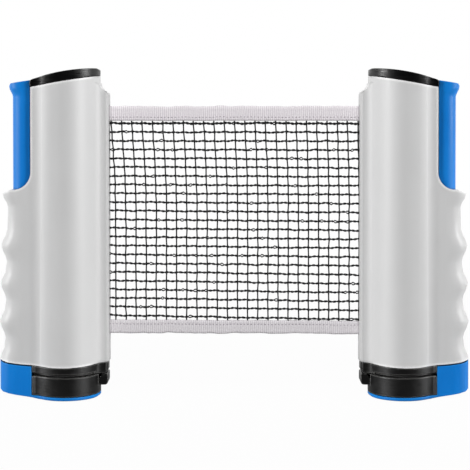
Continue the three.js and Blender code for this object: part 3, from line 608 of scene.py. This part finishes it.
springSteel = {
    "colour": (0.52, 0.53, 0.55),
    "oiled": (0.34, 0.33, 0.32),
    "bright": (0.75, 0.76, 0.78),
    "edgeWidth": 0.0003,
    "edgeBreaks": 0.4,
    "rough": (0.22, 0.40),
    "scratchScale": 3000,
    "scratchDepth": 0.00002,
    "patchScale": 120,
}
springSteelWire = drawnSteel("springSteelWire", springSteel)
brightSteel = dict(springSteel, colour=(0.68, 0.69, 0.71), oiled=(0.55, 0.55, 0.56), bright=(0.9, 0.9, 0.92))
brightSteelScrew = drawnSteel("brightSteelScrew", brightSteel)


def wovenRibbon(name, look):
    material, tree, shader = startMaterial(
        name, Specular_IOR_Level=look["specular"], Sheen_Weight=look["sheen"], Sheen_Roughness=0.5
    )
    weave = placeGroup(
        tree, ribWeave, (-700, 0), Rib_Pitch=look["ribPitch"], Thread_Pitch=look["threadPitch"],
        Wander=look["wander"],
    ).outputs
    body = mixColours(tree, weave["Mottle"], look["shade"], look["colour"], (-350, 150))
    # painted shade: the deep colour between the ribs
    valleyShade = mapRange(tree, weave["Height"], 0.1, 0.7, look["valleyShade"], 0, (-350, -50))
    body = mixColours(tree, valleyShade, body, look["deep"], (-100, 150))
    rough = mapRange(tree, weave["Mottle"], 0, 1, *look["rough"], (-350, -250))
    setInputs(shader, Base_Color=body, Roughness=rough)
    fuzz = mathNode(tree, "MULTIPLY", weave["Mottle"], look["fuzz"], (-350, -400))
    addBump(tree, shader, mathNode(tree, "ADD", weave["Height"], fuzz, (-100, -350)), look["depth"])
    return material


whiteBand = {
    "colour": (0.97, 0.94, 0.96),
    "shade": (0.84, 0.79, 0.83),
    "deep": (0.58, 0.53, 0.57),
    "valleyShade": 0.7,  # share of the deep colour painted between the ribs as shade
    "specular": 0.25,
    "sheen": 0.15,
    "rough": (0.95, 0.8),
    "ribPitch": 0.0013,
    "threadPitch": 0.0008,
    "wander": 0.0009,
    "fuzz": 0.6,
    "depth": 0.00012,
}
# the lower band: the white band's colours painted darker, as shade
shadedLowerBand = dict(whiteBand, colour=(0.91, 0.89, 0.91), shade=(0.73, 0.69, 0.72), deep=(0.53, 0.50, 0.53))
stitching = dict(
    whiteBand, colour=(0.40, 0.35, 0.40), shade=(0.28, 0.23, 0.28), ribPitch=0.0004, threadPitch=0.0004
)
whiteBandRibbon = wovenRibbon("whiteBandRibbon", whiteBand)
lowerBandRibbon = wovenRibbon("lowerBandRibbon", shadedLowerBand)
stitchThread = wovenRibbon("stitchThread", stitching)


def twistedCord(name, look):
    material, tree, shader = startMaterial(name, Specular_IOR_Level=look["specular"], Sheen_Weight=look["sheen"])
    yarn = placeGroup(tree, yarnFibres, (-700, 0), Fibre_Scale=look["fibreScale"], Fleck=look["fleck"]).outputs
    body = mixColours(tree, yarn["Fibre"], look["deep"], look["colour"], (-350, 150))
    body = mixColours(tree, yarn["Fleck"], body, look["fleckColour"], (-100, 150))
    rough = mapRange(tree, yarn["Fibre"], 0.3, 0.7, *look["rough"], (-350, -100))
    setInputs(shader, Base_Color=body, Roughness=rough)
    addBump(tree, shader, yarn["Fibre"], look["depth"])
    return material


netCord = {
    "colour": (0.010, 0.010, 0.011),
    "deep": (0.003, 0.003, 0.0035),
    "fleckColour": (0.09, 0.09, 0.095),
    "fleck": 0.6,
    "specular": 0.3,
    "sheen": 0.1,
    "rough": (0.6, 0.85),
    "fibreScale": 3200,
    "depth": 0.00008,
}
netCordYarn = twistedCord("netCordYarn", netCord)
print("finishes made")


# Pieces in mesh code
def addPiece(name, points, faces, materials, faceMaterials=None, smooth=True):
    mesh = bpy.data.meshes.new(name)
    mesh.from_pydata(points, [], faces)
    for material in materials:
        mesh.materials.append(material)
    if faceMaterials:
        mesh.polygons.foreach_set("material_index", faceMaterials)
    if smooth:
        mesh.polygons.foreach_set("use_smooth", [True] * len(mesh.polygons))
    mesh.validate()
    piece = bpy.data.objects.new(name, mesh)
    bpy.context.scene.collection.objects.link(piece)
    return piece


def addModifier(piece, name, kind, **settings):
    modifier = piece.modifiers.new(name, kind)
    for key, value in settings.items():
        setattr(modifier, key, value)


def sweep(points, faces, path, ring, hoop=False):
    # joins rings of points along a path; ring(place) gives one ring; a hoop runs back to its start
    start = len(points)
    loops = [ring(place) for place in path]
    count = len(loops[0])
    for loop in loops:
        points.extend(loop)
    for i in range(len(loops) if hoop else len(loops) - 1):
        here = start + i * count
        there = start + (i + 1) % len(loops) * count
        for j in range(count):
            k = (j + 1) % count
            faces.append((here + j, here + k, there + k, there + j))
    if not hoop:
        last = start + (len(loops) - 1) * count
        faces.append(tuple(start + j for j in reversed(range(count))))
        faces.append(tuple(last + j for j in range(count)))


def sweptPiece(name, path, ring, material, smooth=True):
    points, faces = [], []
    sweep(points, faces, path, ring)
    return addPiece(name, points, faces, [material], smooth=smooth)


def roundSection(sides):
    # cosine and sine for each corner of a round cord
    angles = [2 * math.pi * k / sides for k in range(sides)]
    return [(math.cos(a), math.sin(a)) for a in angles]


def ringOnTurn(middle, angle, radius, height, thick, sides):
    # section of a cord or wire that goes round an upright axis
    return [
        (
            middle[0] + (radius + thick * c) * math.cos(angle),
            middle[1] + (radius + thick * c) * math.sin(angle),
            height + thick * s,
        )
        for c, s in roundSection(sides)
    ]


def evenSteps(first, last, count):
    return [first + (last - first) * i / count for i in range(count + 1)]


def easedValue(values, low, part):
    ease = part * part * (3 - 2 * part)
    return values[low] + (values[(low + 1) % len(values)] - values[low]) * ease


def smoothNoise(values, place):
    # runs smoothly through the values, over and over
    return easedValue(values, int(math.floor(place)) % len(values), place - math.floor(place))


# The net: twisted cords across, thinner ones upright
net = {
    "end": 0.0901,  # from the middle to the roll inside each post
    "mouth": 0.0796,
    "topCord": 0.1734,
    "bottomCordLeft": 0.0508,
    "bottomCordRight": 0.0480,
    "cords": 23,
    "cordPly": 0.00043,
    "plyOffset": 0.8,
    "cordTwist": 0.0052,
    "cordStep": 0.0007,
    "cordSides": 5,
    "topCordSwell": 1.2,
    "loops": 7,  # in every fourth cord, where its two plies part; the others have 2
    "loopHalf": 0.0011,
    "loopGap": 0.00075,
    "wave": 0.00030,
    "uprights": 27,
    "uprightPitch": 0.00655,
    "firstUpright": -0.0851,
    "uprightRadius": 0.00047,
    "uprightKnot": 0.3,  # thicker by this at the cords
    "uprightStep": 0.0009,
    "uprightSway": 0.0002,
    "uprightLow": 0.0430,
    "uprightHigh": 0.1790,
    "ribbonLow": 0.0482,  # below and above these the uprights lie flat between the two faces of a ribbon
    "ribbonHigh": 0.1748,
    "lean": 0.0028,
    "leanEnd": 0.115,  # height where the lean has straightened out
    "leanRight": 0.35,  # share of the lean that the last upright has
    "weave": 0.000672,
    "yarnArea": 0.0171,  # of all cords laid side by side
}

draws = random.Random(11)


def cordHeight(index, across):
    share = index / (net["cords"] - 1)
    right = (across + net["mouth"]) / (2 * net["mouth"])
    bottom = net["bottomCordLeft"] + (net["bottomCordRight"] - net["bottomCordLeft"]) * right
    return net["topCord"] + (bottom - net["topCord"]) * share


def uprightPlace(index, height):
    start = net["firstUpright"] + index * net["uprightPitch"]
    down = (net["topCord"] - height) / (net["topCord"] - net["leanEnd"])
    down = min(max(down, 0), 1)
    share = net["leanRight"] + (1 - net["leanRight"]) * (1 - index / net["uprights"])
    return start + net["lean"] * share * math.sin(down * math.pi / 2)


points, faces = [], []
path = evenSteps(-net["end"], net["end"], round(2 * net["end"] / net["cordStep"]))
for index in range(net["cords"]):
    swell = net["topCordSwell"] if index == 0 else 1
    knots = [draws.uniform(-1, 1) for _ in range(net["uprights"] + 2)]
    phase = draws.uniform(0, 2 * math.pi)
    twist = net["cordTwist"] * draws.uniform(0.85, 1.2)
    many = net["loops"] if index % 4 == 3 else 2
    loops = [draws.uniform(-net["end"], net["end"]) for _ in range(many)]

    def cordMiddle(across):
        cell = (across - net["firstUpright"]) / net["uprightPitch"] + 1
        low = min(max(int(math.floor(cell)), 0), len(knots) - 2)
        wander = easedValue(knots, low, cell - math.floor(cell))
        bow = math.sin(cell * 2 * math.pi + index) * 0.5
        return cordHeight(index, across) + net["wave"] * (wander + bow)

    for ply in (0, math.pi):
        def cordRing(across):
            turn = phase + ply + across / twist * 2 * math.pi
            nearest = min(abs(across - place) for place in loops)
            parted = max(0, 1 - (nearest / net["loopHalf"]) ** 2)
            radius = net["cordPly"] * swell
            offset = radius * net["plyOffset"] * (1 - parted)
            depth = math.cos(turn) * offset
            gap = (net["loopGap"] if ply else -net["loopGap"]) * parted
            middle = cordMiddle(across) + math.sin(turn) * offset + gap
            return [
                (across, depth + radius * c, middle + radius * s) for c, s in roundSection(net["cordSides"])
            ]

        sweep(points, faces, path, cordRing)

tall = net["uprightHigh"] - net["uprightLow"]
path = evenSteps(net["uprightLow"], net["uprightHigh"], round(tall / net["uprightStep"]))
for index in range(net["uprights"]):
    sway = [draws.uniform(-1, 1) for _ in range(net["cords"] + 4)]
    side = 1 if index % 2 else -1

    def uprightRing(height):
        across = uprightPlace(index, height)
        pitch = (cordHeight(0, across) - cordHeight(net["cords"] - 1, across)) / (net["cords"] - 1)
        cell = (cordHeight(0, across) - height) / pitch + 1
        low = min(max(int(math.floor(cell)), 0), len(sway) - 2)
        part = min(max(cell - low, 0), 1)
        across += net["uprightSway"] * (sway[low] + (sway[low + 1] - sway[low]) * part)
        depth = side * net["weave"] * math.cos(cell * math.pi)
        if not net["ribbonLow"] < height < net["ribbonHigh"]:
            depth *= 0.1
        near = math.cos(cell * 2 * math.pi) * 0.5 + 0.5
        radius = net["uprightRadius"] * (1 + net["uprightKnot"] * near ** 4)
        return [(across + radius * c, depth + radius * s, height) for c, s in roundSection(net["cordSides"])]

    sweep(points, faces, path, uprightRing)

netCords = addPiece("netCords", points, faces, [netCordYarn])
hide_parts("net_mesh")
print("net made,", len(faces), "faces")


# Ribbons folded over the net's upper and lower edge
band = {
    "half": 0.00115,  # half of the folded ribbon's depth
    "cloth": 0.0005,
    "stations": 300,
    "legSteps": 6,
    "bendSteps": 8,
    "pucker": 0.00016,
    "puckers": 90,  # how many along the ribbon
    "edgeWave": 0.00034,
    "edgeWaves": (22, 61),
    "swell": 0.25,
    "swells": 15,
    "topFold": 0.1844,
    "topOpen": 0.1750,
    "bottomFold": 0.0396,
    "bottomOpen": 0.0480,
    "rightDrop": 0.0010,  # the lower band hangs a little deeper at the right post
}


def layRibbon(fold, opening, drop, seed):
    # where a ribbon hangs and how it is creased
    dice = random.Random(seed)
    waves = [[dice.uniform(-1, 1) for _ in range(97)] for _ in range(4)]
    direction = 1 if opening > fold else -1
    return {"fold": fold, "drop": drop, "waves": waves, "direction": direction, "tall": abs(opening - fold)}


def ribbonPoint(ribbon, across, depth, rise):
    # a point of the flat folded ribbon, moved by its waves and creases
    waves, part = ribbon["waves"], rise / ribbon["tall"]
    along = (across + net["end"]) / (2 * net["end"])
    slow, fast = (smoothNoise(wave, along * many) for wave, many in zip(waves, band["edgeWaves"]))
    lift = band["edgeWave"] * (slow + 0.5 * fast) * (1 - 0.6 * part)
    crease = smoothNoise(waves[2], along * band["puckers"]) * band["pucker"]
    swell = 1 + band["swell"] * smoothNoise(waves[3], along * band["swells"])
    # a little thicker at the fold than at the opening
    body = depth * (0.82 + 0.18 * (1 - part)) * swell + math.copysign(crease, depth) * (part > 0.1)
    height = ribbon["fold"] + ribbon["direction"] * (rise - lift) - ribbon["drop"] * along
    return across, body, height


def foldedRibbon(name, ribbon, material):
    tall, half = ribbon["tall"], band["half"]
    outline = []
    # outer face from the opening down to the fold and up the other side, then the inner face back
    for outer in (True, False):
        radius = half if outer else half - band["cloth"]
        leg = [(-radius, rise) for rise in evenSteps(tall, half, band["legSteps"])]
        bend = []
        for angle in evenSteps(0, math.pi, band["bendSteps"])[1:-1]:
            bend.append((-radius * math.cos(angle), half - radius * math.sin(angle)))
        line = leg + bend + [(radius, rise) for _, rise in reversed(leg)]
        outline.extend(line if outer else reversed(line))

    def ribbonRing(across):
        loop = [ribbonPoint(ribbon, across, depth, rise) for depth, rise in outline]
        return loop if ribbon["direction"] > 0 else loop[::-1]

    return sweptPiece(name, evenSteps(-net["end"], net["end"], band["stations"]), ribbonRing, material)


# Seam of short stitches near the open edge of each ribbon, on both faces
seam = {
    "pitch": 0.0022,
    "stitch": 0.0013,
    "radius": 0.00025,
    "sides": 6,
    "inset": 0.0024,
    "proud": 0.00008,
    "tilt": 0.00012,
    "margin": 0.003,  # without stitches at each end
}


def stitchSeam(name, ribbon, seed):
    dice = random.Random(seed)
    points, faces = [], []
    count = int(2 * (net["end"] - seam["margin"]) / seam["pitch"])
    for i in range(count):
        middle = -net["end"] + seam["margin"] + seam["pitch"] * (i + 0.5)
        tilt = dice.uniform(-seam["tilt"], seam["tilt"])
        for side in (-1, 1):
            def stitchRing(part):
                across = middle + part * seam["stitch"] / 2
                ending = abs(part) ** 3
                radius = seam["radius"] * (1 - 0.45 * ending)
                rise = ribbon["tall"] - seam["inset"]
                _, depth, level = ribbonPoint(ribbon, across, side * band["half"], rise)
                depth += side * (seam["proud"] - 1.4 * seam["radius"] * ending)
                level += tilt * part
                return [(across, depth + radius * c, level + radius * s) for c, s in roundSection(seam["sides"])]

            sweep(points, faces, [-1, -0.7, 0, 0.7, 1], stitchRing)
    return addPiece(name, points, faces, [stitchThread])


topRibbon = layRibbon(band["topFold"], band["topOpen"], 0, 3)
bottomRibbon = layRibbon(band["bottomFold"], band["bottomOpen"], band["rightDrop"], 5)
topBand = foldedRibbon("topBand", topRibbon, whiteBandRibbon)
bottomBand = foldedRibbon("bottomBand", bottomRibbon, lowerBandRibbon)
netPieces = [netCords, topBand, bottomBand]
for piece, ribbon, node, seed in ((topBand, topRibbon, "top_band", 7), (bottomBand, bottomRibbon, "bottom_band", 9)):
    stitches = stitchSeam(piece.name + "Stitching", ribbon, seed)
    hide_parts(node)
    netPieces.append(stitches)
for piece in netPieces:
    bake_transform(piece)
print("bands made")


# Rolls of wound net on the reels: ribbon layers at both ends, net between them
netRoll = {
    "layer": 0.0009,
    "meshSink": 0.0007,  # of the wound net below the wound ribbons
    "topRibbon": 0.0094,
    "bottomRibbon": 0.0086,
    "core": 0.0063,
    "clear": 0.0001,  # inside the box of the CAD solid
    "turnSteps": 72,
    "endRings": 36,
    "rows": 46,
    "cord": 0.00036,
    "cordSides": 5,
    "uprightSteps": 44,
    "slack": 0.00018,
    "flute": 0.00022,  # depth between two layers on the end faces
}


def woundRoll(side, seed):
    node = side + "_net_roll"
    low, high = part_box(node)
    middle = ((low[0] + high[0]) / 2, (low[1] + high[1]) / 2)
    outer = (high[0] - low[0]) / 2 - netRoll["clear"]
    bottom, top = low[2] + netRoll["clear"], high[2] - netRoll["clear"]
    dice = random.Random(seed)
    slack = [dice.uniform(-1, 1) for _ in range(41)]
    rows = evenSteps(bottom, top, netRoll["rows"])

    def inRibbon(height):
        return height > top - netRoll["topRibbon"] or height < bottom + netRoll["bottomRibbon"]

    def barrel(height, turn):
        # the outer face steps in by half a layer over a turn
        sink = 0 if inRibbon(height) else netRoll["meshSink"]
        wobble = netRoll["slack"] * smoothNoise(slack, turn * 9 + height * 300)
        return outer - netRoll["slack"] - sink - netRoll["layer"] * turn * 0.5 + wobble

    def rollSection(turn):
        angle = 2 * math.pi * turn
        line = [(barrel(height, turn), height) for height in rows]
        for inward, edge in ((-1, top), (1, bottom)):
            rings = []
            for radius in evenSteps(barrel(edge, turn), netRoll["core"], netRoll["endRings"])[1:-1]:
                wave = 0.5 + 0.5 * math.cos(2 * math.pi * (radius / netRoll["layer"] + turn))
                rings.append((radius, edge + inward * netRoll["flute"] * wave))
            if edge == bottom:
                rings = [(netRoll["core"], top), (netRoll["core"], bottom)] + rings[::-1]
            line.extend(rings)
        return [
            (middle[0] + radius * math.cos(angle), middle[1] + radius * math.sin(angle), height)
            for radius, height in line
        ]

    points, faces = [], []
    turns = [k / netRoll["turnSteps"] for k in range(netRoll["turnSteps"])]
    sweep(points, faces, turns, rollSection, hoop=True)
    paints = [int(inRibbon(sum(points[corner][2] for corner in face) / len(face))) for face in faces]

    # the outermost turn of cords, level ones and upright ones
    def hoopRing(turn):
        radius = barrel(level, turn) + netRoll["cord"] * 0.6
        rise = level + netRoll["slack"] * 2 * smoothNoise(slack, turn * 14 + level * 900)
        return ringOnTurn(middle, 2 * math.pi * turn, radius, rise, netRoll["cord"], netRoll["cordSides"])

    for index in range(1, net["cords"]):
        level = cordHeight(index, 0)
        sweep(points, faces, turns, hoopRing, hoop=True)

    def uprightRing(height):
        radius = barrel(height, turn) + netRoll["cord"] * 1.1
        angle = 2 * math.pi * turn + 0.02 * smoothNoise(slack, height * 500 + turn * 40)
        thick = netRoll["cord"] * 0.8
        return [
            (
                middle[0] + radius * math.cos(angle) + thick * c,
                middle[1] + radius * math.sin(angle) + thick * s,
                height,
            )
            for c, s in roundSection(netRoll["cordSides"])
        ]

    count = round(2 * math.pi * outer / net["uprightPitch"])
    first = bottom + netRoll["bottomRibbon"] + 2 * netRoll["clear"]
    last = top - netRoll["topRibbon"] - 2 * netRoll["clear"]
    for index in range(count):
        turn = index / count
        sweep(points, faces, evenSteps(first, last, netRoll["uprightSteps"]), uprightRing)
    paints += [0] * (len(faces) - len(paints))
    roll = addPiece(side + "NetRoll", points, faces, [netCordYarn, whiteBandRibbon], paints)
    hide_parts(node)
    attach(roll, side + "_reel")


woundRoll("left", 21)
woundRoll("right", 22)
print("rolls wound")


# Clamp springs: closed ends, and evenly spaced turns between them
clampSpring = {
    "wire": 0.0012,
    "turns": 19,
    "endTurns": 1.25,  # close together at each end
    "endPitch": 1.03,  # in wires
    "stepsPerTurn": 24,
    "sides": 8,
    "travel": 0.050,  # of the jaw
}


def wireCoil(side):
    node = side + "_clamp_spring"
    low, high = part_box(node)
    middle = ((low[0] + high[0]) / 2, (low[1] + high[1]) / 2)
    turns, ends, half = clampSpring["turns"], clampSpring["endTurns"], clampSpring["wire"] / 2
    radius = min(high[0] - low[0], high[1] - low[1]) / 2 - half
    first, last = low[2] + half, high[2] - half
    closed = ends * clampSpring["wire"] * clampSpring["endPitch"]

    def coilRing(turn):
        if turn < ends:
            height = first + closed * turn / ends
        elif turn > turns - ends:
            height = last - closed * (turns - turn) / ends
        else:
            height = first + closed + (last - first - 2 * closed) * (turn - ends) / (turns - 2 * ends)
        return ringOnTurn(middle, 2 * math.pi * turn, radius, height, half, clampSpring["sides"])

    path = evenSteps(0, turns, round(turns * clampSpring["stepsPerTurn"]))
    coil = sweptPiece(side + "ClampCoil", path, coilRing, springSteelWire)
    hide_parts(node)
    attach(coil, side + "_post")
    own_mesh(coil)


wireCoil("left")
wireCoil("right")
print("springs coiled")


# Shell screws: pan head with a cross recess, and a thread for plastic
shellScrew = {
    "sides": 24,
    "headTall": 0.0018,
    "shankShare": 0.5,  # of the head's radius
    "crossArm": 0.00125,
    "crossWidth": 0.00036,
    "crossDepth": 0.0011,
    "threadPitch": 0.0012,
    "threadDepth": 0.00028,
    "threadSteps": 60,
    "tip": 0.0022,
    "creaseAngle": 38,
}


def crossScrew(side, column, row):
    node = side + "_" + column + "_" + row + "_screw"
    low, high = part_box(node)
    middle = ((low[0] + high[0]) / 2, (low[2] + high[2]) / 2)
    head = (high[0] - low[0]) / 2
    shank = head * shellScrew["shankShare"]
    tall = shellScrew["headTall"]
    neck = high[1] - tall
    profile = [(0.0002, low[1])]
    for depth in evenSteps(low[1] + 0.0003, neck - 0.0003, shellScrew["threadSteps"]):
        point = min((depth - low[1]) / shellScrew["tip"], 1)
        thread = abs(((depth - low[1]) / shellScrew["threadPitch"]) % 1 - 0.5) * 2
        profile.append((shank * (0.25 + 0.75 * point) - shellScrew["threadDepth"] * point * thread, depth))
    profile += [(shank, neck), (head - 0.0001, neck), (head, neck + 0.0002), (head, neck + tall / 2)]
    profile += [(head * math.cos(a), neck + tall / 2 * (1 + math.sin(a))) for a in (0.4, 0.8, 1.15)]
    profile.append((0.0001, high[1]))

    def turnedRing(place):
        radius, depth = place
        return [
            (middle[0] + radius * c, depth, middle[1] - radius * s) for c, s in roundSection(shellScrew["sides"])
        ]

    name = side + column.capitalize() + row.capitalize() + "Screw"
    screw = sweptPiece(name, profile, turnedRing, brightSteelScrew)
    arm, width = shellScrew["crossArm"], shellScrew["crossWidth"]
    outline = []
    for c, s in ((1, 0), (0, 1), (-1, 0), (0, -1)):
        for x, y in ((arm, -width), (arm, width), (width, width)):
            outline.append((x * c - y * s, x * s + y * c))

    def crossRing(place):
        depth, share = place
        return [(middle[0] + x * share, depth, middle[1] - y * share) for x, y in outline]

    path = [(high[1] - shellScrew["crossDepth"], 0.55), (high[1] + 0.0005, 1.1)]
    recess = sweptPiece("crossRecess", path, crossRing, brightSteelScrew, smooth=False)
    addModifier(screw, "recess", "BOOLEAN", operation="DIFFERENCE", solver="EXACT", object=recess)
    carved = bpy.data.meshes.new_from_object(screw.evaluated_get(bpy.context.evaluated_depsgraph_get()))
    screw.modifiers.clear()
    screw.data = carved
    bpy.data.objects.remove(recess)
    addModifier(screw, "creases", "EDGE_SPLIT", split_angle=math.radians(shellScrew["creaseAngle"]))
    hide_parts(node)
    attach(screw, side + "_post")


for side in ("left", "right"):
    for column in ("inner", "outer"):
        crossScrew(side, column, "lower")
        crossScrew(side, column, "upper")
print("screws cut")


# Carried-over nodes: finishes, and small rounds on their edges
nodeFinish = {
    # finish, width of the round, distance within which corners are joined, smallest angle in degrees
    "front_shell": (greyShellPlastic, 0, 0.0001, 30),  # these two are rounded by their finish alone
    "rear_shell": (greyShellPlastic, 0, 0.0001, 30),
    "top_cap": (blackCapPlastic, 0.0004, 0.0001, 32),
    "squeeze_jaw": (blueJawPlastic, 0.0004, 0.0001, 60),
    "upper_pad": (jawPadRubber, 0.0003, 0.0001, 32),
    "lower_pad": (jawPadRubber, 0.0003, 0.0001, 32),
    "reel_spool": (reelSpoolPlastic, 0.0002, 0.000002, 32),
    "upper_bush": (reelBushPlastic, 0.0001, 0.000002, 32),
    "lower_bush": (reelBushPlastic, 0.0001, 0.000002, 32),
    "reel_shaft": (brightSteelScrew, 0.0002, 0.000002, 32),
    "recoil_spring": (springSteelWire, 0.00008, 0.000002, 32),
}


def dressNode(node, finish, width, joined, smallest):
    for slot in node.material_slots:
        slot.material = finish
    mesh = node.data
    normals = mesh.attributes.get("custom_normal")
    if normals:
        mesh.attributes.remove(normals)
    mesh.polygons.foreach_set("use_smooth", [True] * len(mesh.polygons))
    addModifier(node, "joinCorners", "WELD", merge_threshold=joined)
    crease = math.radians(smallest)
    if not width:
        addModifier(node, "wholeFacets", "DECIMATE", decimate_type="DISSOLVE", angle_limit=math.radians(1))
        addModifier(node, "creases", "EDGE_SPLIT", split_angle=crease)
        return
    addModifier(
        node, "smallRounds", "BEVEL", width=width, segments=2, limit_method="ANGLE", angle_limit=crease,
        use_clamp_overlap=False, loop_slide=False, face_strength_mode="FSTR_AFFECTED",
    )
    # the faces between the rounds decide the shading at their borders
    addModifier(node, "evenShading", "WEIGHTED_NORMAL", mode="CORNER_ANGLE", use_face_influence=True, weight=50)


for name, node in frame["nodes"].items():
    for part, finish in nodeFinish.items():
        if name.endswith(part):
            dressNode(node, *finish)
print("carried-over nodes dressed")

# What each softbox lights
for piece in bpy.context.scene.objects:
    side = next((side for side in ("left", "right") if piece.name.startswith(side)), None)
    if piece.type == "MESH" and side:
        part = "Cap" if piece.name.endswith("_cap") else "Pads" if piece.name.endswith("_pad") else ""
        litBy[side + part].objects.link(piece)
for piece in netPieces + [floorPlane]:
    litBy["net"].objects.link(piece)
